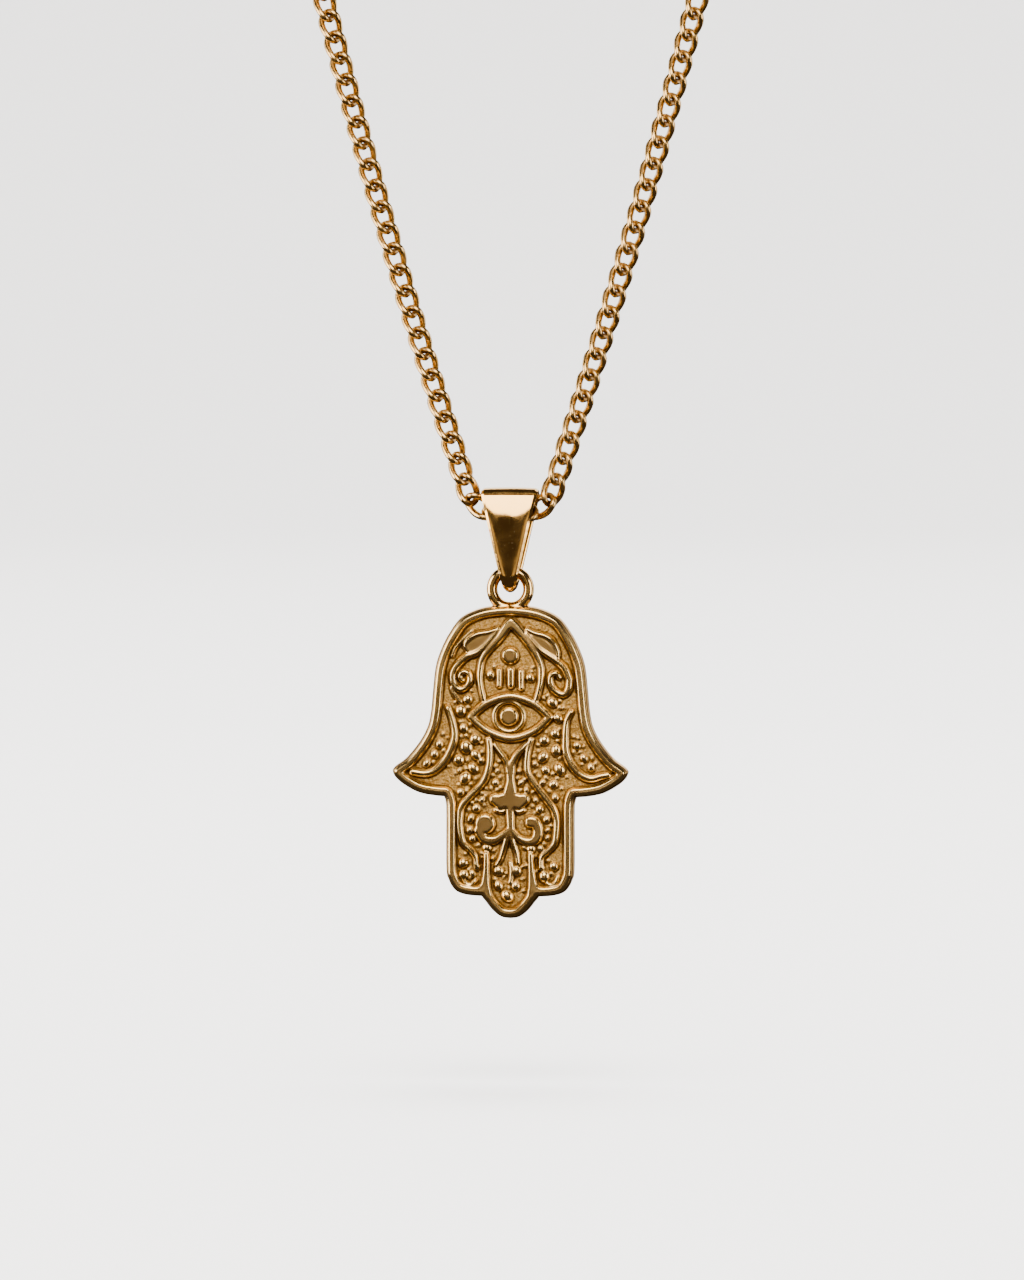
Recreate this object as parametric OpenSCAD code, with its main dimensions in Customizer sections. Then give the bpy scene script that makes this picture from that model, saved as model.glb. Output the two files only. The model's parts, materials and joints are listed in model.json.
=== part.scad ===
// Necklace with a cast hamsa pendant on a tapered bail and a curb chain.
// X is to the right, the front of the pendant looks to -Y and Z is up. The
// necklace hangs by the top of its loop, where the origin is. Millimetres.

/* [Hand] */
// Width over the two thumb tips
hand_w = 25; // [20:0.5:32]
// Height from the middle fingertip to the top of the dome
hand_h = 33.3; // [27:0.3:42]
// Thickness from the back to the top of the rim
hand_t = 2.2; // [1.8:0.1:3]
// Width of the raised rim
rim_w = 0.85; // [0.6:0.05:1.1]
// Depth of the sunk ground below the rim
ground_depth = 0.6; // [0.4:0.05:0.9]
// How far the relief stops below the rim
relief_drop = 0.08; // [0.02:0.02:0.2]
// Small step that softens the edges of the rim and the back
edge_step = 0.14; // [0.06:0.02:0.2]

/* [Ring] */
// Outer diameter of the ring cast on top of the hand
ring_d = 5; // [4.4:0.1:6]
// Diameter of the hole in the ring
ring_hole = 3; // [2.7:0.1:3.4]
// Thickness of the ring from front to back
ring_t = 1.4; // [1.1:0.1:1.8]
// Rounding of the ring's section
ring_round = 0.45; // [0.25:0.05:0.5]
// How deep the ring runs into the dome of the hand
ring_seat = 0.6; // [0.4:0.05:0.8]

/* [Bail] */
// Width of the bail at its top
bail_w = 6; // [5:0.1:7]
// Width of the bail at its lower tip
bail_tip_w = 1.3; // [1:0.05:1.5]
// Height of the bail
bail_h = 11.1; // [10:0.1:14]
// Wall of the bail
bail_wall = 0.65; // [0.5:0.05:0.8]
// Metal under the ring at the lower tip
bail_tip_t = 1; // [0.8:0.05:1.3]

/* [Chain] */
// Length of the whole loop with its clasp
loop_len = 500; // [420:10:600]
// Distance from one link to the next
link_pitch = 2.34; // [2:0.02:2.8]
// Width of the chain across its flat side
chain_w = 2.45; // [2:0.05:2.8]
// Thickness of the chain from front to back
chain_t = 1.5; // [1.2:0.05:1.8]
// Lean of a strand from the vertical just above the bail, in degrees
strand_lean = 18.5; // [16:0.5:24]
// Lean of a strand higher up, in degrees
upper_lean = 14; // [10:0.5:15]
// Length over which the lean changes
ease_len = 60; // [40:5:80]

/* [Clasp] */
// Length of the clasp over its two eyes
clasp_len = 12; // [10:0.5:16]
// Width of the clasp's body
clasp_w = 4; // [3:0.1:5]
// Thickness of the clasp's body
clasp_t = 2; // [1.4:0.1:2.6]
// Hole of each eye
eye_hole = 1.8; // [1.6:0.1:2.2]
// Wall of each eye
eye_wall = 0.7; // [0.5:0.05:0.9]
// Thickness of each eye
eye_t = 1; // [0.8:0.05:1.2]

/* [Clearances] */
// Gap between the chain and the corners of the bail
corner_gap = 0.12; // [0.08:0.02:0.3]
// Gap that lets the bail swing round the chain
swing_gap = 0.14; // [0.1:0.02:0.3]
// Gap between the ring and the bail
ring_gap = 0.15; // [0.1:0.02:0.3]
// Gap between the end of a strand and an eye of the clasp
clasp_gap = 0.15; // [0.1:0.05:0.3]

/* [Hidden] */
whole = 1000;

// How finely round shapes and curves are cut
$fn = 24;
ring_sides = 36;
disc_sides = 12;
grain_sides = 8;
curve_steps = 2;
loop_steps = 14;
tube_sides = 8;
ease_steps = 9;
straight_steps = 14;
round_steps = 12;

// Route of the chain
bend = (90 - strand_lean) / 2;
corner_run = bail_w / 2 - link_pitch;
corner_reach = chain_w / 2 + corner_gap + max(0, corner_run) * sin(bend);
chain_drop = max(chain_w / 2 + corner_gap, corner_reach / cos(bend));
turn_x = link_pitch * (1 + cos(bend));
turn_z = link_pitch * sin(bend);
ease_end = along(turn_x, turn_z, ease_steps);
round_room = loop_len / 2 - 2 * link_pitch - ease_len + ease_end[0] / sin(upper_lean);
round_turn = (90 + upper_lean) * PI / 180;
round_r = round_room / (1 / tan(upper_lean) + round_turn);
straight_len = (round_r * cos(upper_lean) - ease_end[0]) / sin(upper_lean);
straight_top = ease_end[1] + straight_len * cos(upper_lean);
round_z = straight_top + round_r * sin(upper_lean);
clasp_turn = asin((clasp_len / 2 + clasp_gap) / round_r);

// Heights, with the underside of the clasp at zero
chain_z = clasp_t / 2 - round_z - round_r;
arch_r = norm([chain_w, chain_t]) / 2 + swing_gap;
arch_z = chain_z + chain_drop - arch_r;
bail_top = arch_z + arch_r + bail_wall;
ring_bar = (ring_d - ring_hole) / 2;
ring_flat = ring_t / 2 - ring_round;
bail_taper = (bail_w - bail_tip_w) / (bail_h - bail_wall);
seat_half = (bail_tip_w + bail_taper * (bail_tip_t + ring_t)) / 2;
hole_rise = ring_hole / 2 - sqrt(ring_hole * ring_hole / 4 - seat_half * seat_half);
seat_r = norm([ring_bar / 2 + hole_rise, ring_flat]) + ring_gap;
seat_z = bail_top - bail_h + bail_tip_t + seat_r;
ring_z = seat_z - (ring_d + ring_hole) / 4;
dome_z = ring_z - ring_d / 2 + ring_seat;
hand_z = dome_z - hand_h;

// Levels of the hand, counted from its back
ground = hand_t - ground_depth;
relief_top = hand_t - relief_drop;
shoulder_share = 0.55;
shoulder = ground + (relief_top - ground) * shoulder_share;
shoulder_step = 0.08;
sliver = 0.015;
iris_share = 12;

// Outline of the right half of the hand, in four runs from the dome to the
// middle fingertip: across from the middle and up from the fingertip, in
// thousandths of hand_w and hand_h
OUTLINE = [
    [[0, 1000], [73, 996], [142, 984], [208, 958], [258, 907], [292, 855], [313, 804],
        [324, 733], [333, 662], [348, 610], [384, 559], [440, 507], [487, 480], [500, 469]],
    [[500, 469], [489, 452], [455, 430], [395, 406], [330, 396], [280, 393]],
    [[280, 393], [270, 372], [267, 330], [267, 159], [258, 121], [240, 95], [219, 82],
        [180, 74], [120, 71]],
    [[120, 71], [99, 55], [73, 31], [39, 8], [0, 0]]
];

// Raised strokes: the widths at the start, middle and end in thousandths of
// hand_w, then the points, across and up, in thousandths of hand_w and hand_h
STROKES = [
    // Onion arch
    [38, 24, 17, [[6, 950], [-13, 935], [-45, 900], [-90, 863], [-119, 830], [-129, 786], [-127, 749],
        [-112, 701]]],
    [38, 24, 17, [[6, 950], [38, 926], [73, 893], [112, 849], [134, 808], [134, 764], [124, 727],
        [112, 697]]],
    // Eyelids
    [26, 30, 26, [[-168, 645], [-96, 690], [3, 711], [102, 690], [172, 645]]],
    [26, 30, 26, [[-168, 645], [-96, 600], [5, 576], [106, 600], [172, 645]]],
    // Three bars
    [18, 20, 18, [[-45, 797], [-45, 746]]],
    [25, 27, 25, [[5, 797], [5, 748]]],
    [20, 22, 18, [[49, 793], [49, 738]]],
    // Upper leaves and their scrolls
    [13, 20, 14, [[-50, 930], [-90, 919], [-139, 912], [-179, 893], [-191, 875], [-179, 856]]],
    [13, 20, 26, [[-50, 930], [-65, 912], [-105, 875], [-144, 852], [-183, 842]]],
    [26, 22, 15, [[-183, 842], [-218, 819], [-245, 786], [-242, 753], [-218, 734], [-188, 741],
        [-171, 764], [-179, 786], [-203, 790], [-215, 775], [-203, 762]]],
    [13, 20, 14, [[75, 928], [110, 916], [151, 908], [184, 891], [206, 858], [206, 838]]],
    [15, 24, 26, [[72, 916], [124, 869], [170, 844], [206, 825], [239, 801], [258, 766]]],
    [26, 24, 15, [[258, 766], [252, 735], [230, 719], [195, 731], [176, 756], [179, 780], [200, 788],
        [215, 773]]],
    // Fine lines beside the left rim
    [10, 13, 8, [[-248, 841], [-235, 865], [-213, 886], [-190, 905], [-164, 923]]],
    [10, 13, 13, [[-252, 739], [-237, 715], [-213, 694]]],
    // Thumbs
    [17, 28, 25, [[-267, 675], [-248, 634], [-238, 579], [-270, 514], [-319, 474], [-363, 461],
        [-419, 466]]],
    [17, 28, 25, [[265, 664], [245, 631], [240, 579], [246, 522], [290, 470], [345, 448], [395, 456],
        [424, 460]]],
    // Long bending strands
    [20, 25, 17, [[-90, 572], [-85, 531], [-90, 486], [-113, 436], [-161, 396], [-206, 357],
        [-216, 317], [-214, 278], [-201, 238], [-170, 215], [-148, 192], [-144, 166]]],
    [20, 25, 17, [[92, 572], [78, 531], [75, 475], [101, 436], [145, 393], [185, 353], [202, 317],
        [202, 278], [193, 238], [163, 212], [138, 192], [136, 159]]],
    // Middle stem with its forked top and its cross piece
    [13, 21, 26, [[-60, 553], [-42, 528], [-16, 505]]],
    [13, 21, 30, [[73, 560], [46, 536], [14, 512]]],
    [33, 28, 45, [[1, 508], [4, 450], [2, 400]]],
    [58, 66, 58, [[-48, 375], [0, 376], [50, 375]]],
    [30, 28, 26, [[3, 360], [5, 281]]],
    [10, 15, 13, [[-12, 350], [-33, 339], [-60, 345]]],
    [10, 15, 13, [[18, 350], [37, 339], [60, 345]]],
    // Two scrolls at the foot of the stem
    [22, 34, 40, [[0, 284], [-30, 263], [-70, 247], [-112, 252], [-132, 278]]],
    [20, 38, 40, [[9, 281], [40, 255], [80, 243], [114, 252], [122, 280], [108, 306], [88, 310]]],
    // Tent over the middle finger
    [22, 17, 13, [[-2, 280], [-21, 233], [-39, 189], [-57, 166]]],
    [22, 17, 13, [[-2, 280], [16, 237], [31, 202], [36, 173]]],
    [13, 15, 13, [[5, 175], [9, 145], [3, 110]]],
    // Hooks in the outer fingers
    [10, 13, 10, [[-201, 120], [-186, 105], [-166, 103], [-149, 116]]],
    [10, 13, 10, [[160, 110], [179, 103], [200, 113], [209, 131]]],
    // Ridges between the fingers
    [26, 30, 62, [[-96, 212], [-96, 150], [-104, 84]]],
    [26, 30, 62, [[91, 212], [95, 150], [106, 84]]]
];

// Round grains: across, up and radius in thousandths of hand_w, hand_h and
// hand_w
GRAINS = [
    // Left of the eye and under it
    [-181, 701, 19], [-211, 664, 22], [-198, 608, 17], [-149, 573, 21], [-188, 546, 26],
    [-146, 521, 20], [-221, 505, 22], [-124, 503, 14], [-156, 479, 21], [-193, 447, 24],
    [-212, 401, 15],
    // Right of the eye and under it
    [184, 693, 21], [208, 642, 19], [196, 592, 18], [149, 570, 20], [201, 538, 22], [144, 516, 22],
    [110, 493, 12], [216, 477, 24], [156, 474, 17], [140, 434, 12], [189, 428, 17], [197, 385, 15],
    // Thumbs
    [-303, 555, 16], [-325, 523, 16], [-359, 493, 16], [291, 554, 15], [321, 514, 15],
    [351, 484, 15],
    // Inside the long strands
    [-61, 432, 14], [-54, 470, 9], [-120, 376, 13], [-144, 350, 16], [-168, 316, 15],
    [-172, 278, 14], [-161, 250, 13], [48, 432, 12], [40, 470, 9], [72, 409, 11], [112, 376, 11],
    [130, 347, 16], [160, 314, 14], [164, 280, 10], [163, 255, 10], [136, 220, 13],
    // Beside the onion arch
    [-82, 780, 18], [88, 771, 17],
    // Fingers
    [-48, 147, 20], [29, 148, 20], [-48, 99, 18], [26, 99, 18], [-10, 66, 24], [-201, 171, 19],
    [-199, 134, 19], [-160, 137, 13], [-142, 160, 14], [191, 163, 17], [149, 130, 22],
    [136, 158, 14],
    // Knobs at the head of the finger ridges
    [-96, 224, 19], [91, 224, 19]
];

// Flat discs: across, up and radius as for the grains
DISCS = [
    [2, 843, 34],
    [-106, 300, 41],
    [-70, 379, 24],
    [68, 379, 24],
    [-419, 466, 13],
    [-3, 647, 38],
    [88, 303, 19]
];

// Ring round the pupil: across, up and outer radius as for the grains
IRIS = [-3, 647, 70];

// Point at the end of the n-th step of the stretch where the lean changes
function along(x, z, n, i = 0) =
    i == n ? [x, z]
    : let(
        lean = strand_lean + (upper_lean - strand_lean) * (i + 0.5) / ease_steps,
        step = ease_len / ease_steps
    ) along(x + step * sin(lean), z + step * cos(lean), n, i + 1);

// Middle line of the right strand, from the middle of the bail to the clasp
function strand_route() = concat(
    [[0, 0], [link_pitch, 0], [turn_x, turn_z]],
    [for (i = [1:ease_steps]) along(turn_x, turn_z, i)],
    [for (i = [1:straight_steps])
        ease_end + straight_len * i / straight_steps * [sin(upper_lean), cos(upper_lean)]],
    [for (i = [1:round_steps])
        let(a = -upper_lean + (90 - clasp_turn + upper_lean) * i / round_steps)
        [round_r * cos(a), round_z + round_r * sin(a)]]
);

// Direction from one point of a route to another
function heading(a, b) = (b - a) / norm(b - a);

// Curve through points, with this many steps in each span
function curve(p, steps) = [
    for (i = [0:len(p) - 2], k = [0:steps - 1])
        let(
            a = p[max(i - 1, 0)],
            b = p[i],
            c = p[i + 1],
            d = p[min(i + 2, len(p) - 1)],
            t = k / steps
        )
        ((2 * b) + (c - a) * t + (2 * a - 5 * b + 4 * c - d) * t * t
            + (3 * b - a - 3 * c + d) * t * t * t) / 2,
    p[len(p) - 1]
];

// Place on the hand of a point given in thousandths of its width and height
function spot(p) = [p[0] * hand_w / whole, p[1] * hand_h / whole];

// Width of a stroke at a share of its way
function stroke_w(row, t) =
    (t < 0.5 ? row[0] + (row[1] - row[0]) * 2 * t : row[1] + (row[2] - row[1]) * (2 * t - 1))
    * hand_w / whole;

// Outline of one half of the hand, closed along the middle line
function half_outline() = [
    for (run = OUTLINE)
        each let(c = curve(run, curve_steps)) [for (i = [0:len(c) - 2]) spot(c[i])],
    [0, 0]
];

// Outline of a rounded loop, seen from the side: an arch on a narrower seat
function loop_profile(top_r, top_z, low_r, low_z) =
    let(tilt = asin((top_r - low_r) / (top_z - low_z)))
    concat(
        [for (i = [0:loop_steps])
            let(a = tilt + (180 - 2 * tilt) * i / loop_steps)
            [top_r * cos(a), top_z + top_r * sin(a)]],
        [for (i = [0:loop_steps])
            let(a = 180 - tilt + (180 + 2 * tilt) * i / loop_steps)
            [low_r * cos(a), low_z + low_r * sin(a)]]
    );

// Flat shape of the whole hand
module hand_shape() {
    half = half_outline();
    polygon(half);
    mirror([1, 0]) polygon(half);
}

// One raised stroke as a ribbon with round ends
module ribbon(row) {
    line = [for (p = curve(row[3], curve_steps)) spot(p)];
    last = len(line) - 1;
    side = [
        for (i = [0:last])
            let(way = heading(line[max(i - 1, 0)], line[min(i + 1, last)]))
            [-way[1], way[0]] * stroke_w(row, i / last) / 2
    ];
    for (i = [0:last - 1])
        polygon([line[i] + side[i], line[i + 1] + side[i + 1],
            line[i + 1] - side[i + 1], line[i] - side[i]]);
    for (i = [0, last])
        translate(line[i]) circle(r = norm(side[i]), $fn = grain_sides);
}

// Disc given by a row of its place and radius, grown by this much
module button(row, grow = 0, sides = disc_sides) {
    translate(spot(row)) circle(r = row[2] * hand_w / whole + grow, $fn = sides);
}

// Everything that stands on the ground inside the rim, drawn in by this much
module relief_shape(inset) {
    offset(delta = -inset) {
        for (row = STROKES) ribbon(row);
        for (row = DISCS) button(row);
        difference() {
            button(IRIS);
            button(IRIS, -iris_share * hand_w / whole);
        }
    }
    for (row = GRAINS) button(row, -2 * inset, grain_sides);
}

// Outline of the hand, drawn in by this much
module inner_shape(inset) {
    offset(delta = -inset) hand_shape();
}

// Band of the rim along the outline
module rim_shape() {
    difference() {
        hand_shape();
        inner_shape(rim_w);
    }
}

// Rim and relief together, with hair-thin gaps and slivers closed
module raised_shape(inset) {
    offset(delta = sliver) offset(delta = -2 * sliver) offset(delta = sliver) {
        rim_shape();
        intersection() {
            relief_shape(inset);
            inner_shape(rim_w / 2);
        }
    }
}

// One level of the hand between two heights above its back
module level(low, high) {
    translate([0, 0, low]) linear_extrude(high - low) children();
}

// Ring on top of the hand, with its axis along Y
module ring() {
    inner = ring_hole / 2;
    outer = ring_d / 2;
    face = ring_t / 2;
    rotate([90, 0, 0]) rotate_extrude($fn = ring_sides) polygon([
        [inner, -ring_flat], [inner + ring_round, -face], [outer - ring_round, -face], [outer, -ring_flat],
        [outer, ring_flat], [outer - ring_round, face], [inner + ring_round, face], [inner, ring_flat]
    ]);
}

// Hand, cast in one with its rim, its relief and its ring
module hand() {
    color([0.83, 0.62, 0.33]) union() {
        translate([0, hand_t / 2, hand_z]) rotate([90, 0, 0]) {
            level(0, edge_step) inner_shape(edge_step);
            level(edge_step, ground) inner_shape(0);
            level(ground, shoulder) raised_shape(0);
            level(shoulder, relief_top) raised_shape(shoulder_step);
            level(relief_top, hand_t) offset(delta = -edge_step) rim_shape();
        }
        translate([0, 0, ring_z]) ring();
    }
}

// Tapered bail, folded from one strip round the chain and the ring
module bail() {
    low_outer = seat_r + bail_wall;
    low_z = bail_top - bail_h + low_outer;
    color([0.85, 0.64, 0.38]) intersection() {
        difference() {
            rotate([90, 0, 90]) linear_extrude(bail_w, center = true)
                polygon(loop_profile(arch_r + bail_wall, arch_z, low_outer, low_z));
            rotate([90, 0, 90]) linear_extrude(bail_w * 2, center = true)
                polygon(loop_profile(arch_r, arch_z, seat_r, seat_z));
        }
        rotate([90, 0, 0]) linear_extrude(4 * arch_r + 4 * bail_wall, center = true) polygon([
            [-bail_w / 2, bail_top + bail_wall], [bail_w / 2, bail_top + bail_wall],
            [bail_w / 2, bail_top - bail_wall],
            [bail_tip_w / 2, bail_top - bail_h], [-bail_tip_w / 2, bail_top - bail_h],
            [-bail_w / 2, bail_top - bail_wall]
        ]);
    }
}

// Envelope of the right strand of the chain, a flat eight-sided tube
module strand() {
    route = strand_route();
    last = len(route) - 1;
    sides = tube_sides;
    rings = [
        for (i = [0:last])
            let(
                before = i == 0 ? [1, 0] : heading(route[i - 1], route[i]),
                after = i == last ? before : heading(route[i], route[i + 1]),
                way = heading([0, 0], before + after),
                mitre = 1 / (way * before)
            )
            for (k = [0:sides - 1])
                let(
                    a = (k + 0.5) * 360 / sides,
                    reach = chain_w / 2 * cos(a) / cos(180 / sides) * mitre,
                    deep = chain_t / 2 * sin(a) / cos(180 / sides)
                )
                [route[i][0] - way[1] * reach, deep, route[i][1] + way[0] * reach]
    ];
    walls = [
        for (i = [0:last - 1], k = [0:sides - 1])
            let(a = i * sides + k, b = i * sides + (k + 1) % sides)
            each [[a, b, a + sides], [b, b + sides, a + sides]]
    ];
    start = [for (k = [sides - 1:-1:0]) k];
    end = [for (k = [0:sides - 1]) last * sides + k];
    translate([0, 0, chain_z]) polyhedron(rings, concat(walls, [start, end]));
}

module chain_right() {
    color([0.86, 0.66, 0.4]) strand();
}

module chain_left() {
    color([0.86, 0.66, 0.4]) mirror([1, 0, 0]) strand();
}

// Plain clasp that lies flat, an oval body between two eyes
module clasp() {
    eye_r = eye_hole / 2 + eye_wall;
    eye_x = clasp_len / 2 - eye_r;
    body_x = eye_x - eye_hole / 2 - clasp_w / 2;
    color([0.86, 0.66, 0.4]) translate([0, 0, clasp_t / 2]) difference() {
        union() {
            linear_extrude(clasp_t, center = true) {
                square([2 * body_x, clasp_w], center = true);
                for (side = [-1, 1]) translate([side * body_x, 0]) circle(d = clasp_w);
            }
            linear_extrude(eye_t, center = true) {
                square([2 * eye_x, 2 * eye_r], center = true);
                for (side = [-1, 1]) translate([side * eye_x, 0]) circle(r = eye_r);
            }
        }
        for (side = [-1, 1]) translate([side * eye_x, 0, 0])
            cylinder(d = eye_hole, h = clasp_t * 2, center = true);
    }
}

hand();
bail();
chain_left();
chain_right();
clasp();
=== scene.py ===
# %% [markdown]
# # A cast hamsa pendant on its curb chain
#
# The necklace hangs by the top of its loop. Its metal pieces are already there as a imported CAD
# model, in metres, with X to the right, the front towards -Y and Z up. This lesson dresses them:
# the hand gets its rounded relief, the bail its bevels and the chain its single links, and
# three kinds of gold finish them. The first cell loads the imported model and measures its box.

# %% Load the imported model
import json
import math

import bmesh
import bpy
import numpy as np
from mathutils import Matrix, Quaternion, Vector


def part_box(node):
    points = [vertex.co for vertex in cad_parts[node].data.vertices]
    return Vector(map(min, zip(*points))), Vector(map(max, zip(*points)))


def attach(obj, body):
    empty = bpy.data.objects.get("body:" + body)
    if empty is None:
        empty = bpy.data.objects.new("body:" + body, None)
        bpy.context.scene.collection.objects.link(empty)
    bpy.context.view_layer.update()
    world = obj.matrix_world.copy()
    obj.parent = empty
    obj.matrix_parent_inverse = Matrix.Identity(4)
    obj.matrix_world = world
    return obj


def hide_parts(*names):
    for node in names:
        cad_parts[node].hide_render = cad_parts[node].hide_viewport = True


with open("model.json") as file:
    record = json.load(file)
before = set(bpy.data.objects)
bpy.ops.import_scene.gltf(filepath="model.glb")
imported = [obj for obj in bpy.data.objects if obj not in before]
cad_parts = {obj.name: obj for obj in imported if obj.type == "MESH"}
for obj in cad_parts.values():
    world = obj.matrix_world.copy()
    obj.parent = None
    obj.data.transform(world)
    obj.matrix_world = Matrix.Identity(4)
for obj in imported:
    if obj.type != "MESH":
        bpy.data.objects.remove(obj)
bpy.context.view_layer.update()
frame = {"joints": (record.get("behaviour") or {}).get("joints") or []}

# %% [markdown]
# Every size below is in millimetres and has the same name and value as in the CAD source. What
# a node's box can tell is taken from the box, so that a piece sits where its solid does.

# %% Sizes and places, in millimetres
MM = 0.001
UP = np.array([0.0, 0.0, 1.0])
FRONT = np.array([0.0, -1.0, 0.0])

hand_w, hand_h, hand_t = 25.0, 33.3, 2.2
ground_depth, relief_drop = 0.6, 0.08
ring_d, ring_hole, ring_t = 5.0, 3.0, 1.4
bail_w, bail_tip_w, bail_wall, bail_tip_t = 6.0, 1.3, 0.65, 1.0
loop_len, link_pitch, chain_w = 500.0, 2.34, 2.45
strand_lean, upper_lean, ease_len = math.radians(18.5), math.radians(14.0), 60.0
clasp_len, clasp_w, clasp_t = 12.0, 4.0, 2.0
eye_hole, eye_wall, eye_t = 1.8, 0.7, 1.0


def box_mm(node):
    """Lowest and highest corner of a CAD node, in millimetres."""
    return [np.array(corner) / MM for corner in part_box(node)]


hand_box, bail_box = box_mm("hand"), box_mm("bail")
hand_z = hand_box[0][2]
ring_z = hand_box[1][2] - ring_d / 2
bail_top, bail_low = bail_box[1][2], bail_box[0][2]
arch_outer = (bail_box[1][1] - bail_box[0][1]) / 2
arch_r = arch_outer - bail_wall
arch_z = bail_top - arch_outer
chain_z = box_mm("chain_right")[0][2] + chain_w / 2
seat_z = frame["joints"][1]["pos_m"][2] / MM
seat_r = seat_z - bail_low - bail_tip_t
print(f"hand from {hand_z:.2f} to {ring_z + ring_d / 2:.2f}, bail from {bail_low:.2f} to {bail_top:.2f}")
print(f"arch radius {arch_r:.3f}, seat radius {seat_r:.3f}, chain at {chain_z:.2f}")

# %% [markdown]
# The camera comes first, because every later choice is judged through it. A pendant is shot with
# a long lens from far off, which keeps its outline true. This one stands a little to the right
# of the pendant and a little above it: the right side of the ring shows its wall, and the top
# of the bail can just be seen.

# %% Camera
PHOTO_TALL = 1280.0
PX_PER_MM = 9.32
SENSOR = 36.0

aim = np.array([0.18, 0.0, -227.03])
camera_far = 600.0
camera_turn, camera_rise = math.radians(6.0), math.radians(3.0)


def place_on_sphere(turn, rise, far):
    """Point at a distance from the aim, turned about Z from the front and raised by an angle."""
    level = np.array([math.sin(turn), -math.cos(turn), 0.0])
    return aim + far * (math.cos(rise) * level + math.sin(rise) * UP)


def look(thing, place, target, roll=0.0):
    """Puts a camera or a lamp at a place, turns its -Z axis to the target and rolls it about
    that axis."""
    thing.location = Vector(place * MM)
    aimed = Vector((target - place) * MM).to_track_quat("-Z", "Y")
    thing.rotation_euler = (aimed @ Quaternion((0.0, 0.0, 1.0), roll)).to_euler()


lens = bpy.data.cameras.new("studio_camera")
lens.sensor_width = SENSOR
lens.lens = SENSOR * camera_far * PX_PER_MM / PHOTO_TALL
lens.clip_start, lens.clip_end = 0.01, 20.0
camera = bpy.data.objects.new("studio_camera", lens)
bpy.context.scene.collection.objects.link(camera)
look(camera, place_on_sphere(camera_turn, camera_rise, camera_far), aim)
bpy.context.scene.camera = camera
print(f"lens {lens.lens:.0f} mm, the frame is {PHOTO_TALL / PX_PER_MM:.1f} mm tall")

# %% [markdown]
# Every new piece gets into its mesh in the same way, so that step is written once. A mesh could be
# filled point by point, but whole arrays of points and corners are handed over much faster.


# %% Mesh helper
def put_mesh(name, points, *faces):
    """Makes a smooth-shaded object from points in millimetres, an array with one row a point, and
    arrays of faces with one row of corners a face, seen anticlockwise from outside."""
    mesh = bpy.data.meshes.new(name)
    sizes = np.concatenate([np.full(len(f), f.shape[1]) for f in faces])
    corners = np.concatenate([f.ravel() for f in faces]).astype(np.int32)
    mesh.vertices.add(len(points))
    mesh.vertices.foreach_set("co", (points * MM).astype(np.float32).ravel())
    mesh.loops.add(len(corners))
    mesh.loops.foreach_set("vertex_index", corners)
    mesh.polygons.add(len(sizes))
    mesh.polygons.foreach_set("loop_start", (np.cumsum(sizes) - sizes).astype(np.int32))
    mesh.update(calc_edges=True)
    mesh.polygons.foreach_set("use_smooth", np.ones(len(sizes), bool))
    mesh.validate()
    thing = bpy.data.objects.new(name, mesh)
    bpy.context.scene.collection.objects.link(thing)
    triangles = int((sizes - 2).sum())
    print(f"{name}: {len(points)} points, {len(sizes)} faces, {triangles} triangles")
    return thing


# %% [markdown]
# The stage is a pale floor that bends up into a pale wall. A flat floor and a flat wall would
# show a seam behind the pendant, so the profile is a floor line, a quarter circle and a wall
# line, turned about the upright axis.

# %% Floor and wall
floor_drop, floor_r, bend_r, wall_top = 18.0, 1800.0, 2000.0, 3400.0
BEND_STEPS, STAGE_SIDES = 16, 96

floor_z = hand_z - floor_drop
quarter = np.linspace(0.0, math.pi / 2, BEND_STEPS + 1)
stage_line = np.vstack([
    [0.0, floor_z],
    [floor_r / 2, floor_z],
    np.stack([floor_r + bend_r * np.sin(quarter), floor_z + bend_r * (1 - np.cos(quarter))], axis=1),
    [floor_r + bend_r, wall_top],
])
stage_turn = np.linspace(0.0, 2 * math.pi, STAGE_SIDES, endpoint=False)
stage_out = np.stack([np.cos(stage_turn), np.sin(stage_turn)], axis=1)


def grid_faces(rows, sides, closed):
    """Squares of a grid whose rows close on themselves, each square from a point to the next row
    and back. A closed grid also joins its last row to its first."""
    i, j = np.meshgrid(np.arange(rows - 1 + closed), np.arange(sides), indexing="ij")
    below, beside = (i + 1) % rows, (j + 1) % sides
    corners = [i * sides + j, below * sides + j, below * sides + beside, i * sides + beside]
    return np.stack(corners, axis=-1).reshape(-1, 4)


def turned(line, out):
    """Surface of a profile, (radius, height), turned about the upright axis: each point of
    the profile goes out by its radius in every direction. The first point lies on the axis and
    closes the surface, and the surface looks inwards and upwards."""
    flat = line[1:, None, :1] * out
    height = np.broadcast_to(line[1:, None, 1:], (*flat.shape[:2], 1))
    points = np.concatenate([flat, height], axis=-1)
    n = len(out)
    ring = np.arange(n)
    middle = np.full(n, (len(line) - 1) * n)
    cap = np.stack([middle, ring, (ring + 1) % n], axis=1)
    squares = grid_faces(len(line) - 1, n, False)
    return np.vstack([points.reshape(-1, 3), [[0.0, 0.0, line[0, 1]]]]), squares, cap


stage = put_mesh("studio_floor", *turned(stage_line, stage_out))
stage.visible_glossy = False

# %% [markdown]
# Polished metal has no colour of its own: it shows the room. So the light is soft and
# comes from large panels above, beside and behind the pendant, and only two narrow, weak ones
# stand near the camera. That gives gold its dark middle tones between pale edges. The panels
# light the metal alone. One wide lamp overhead lights the floor and the wall, and the metal
# doesn't show it.

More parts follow.
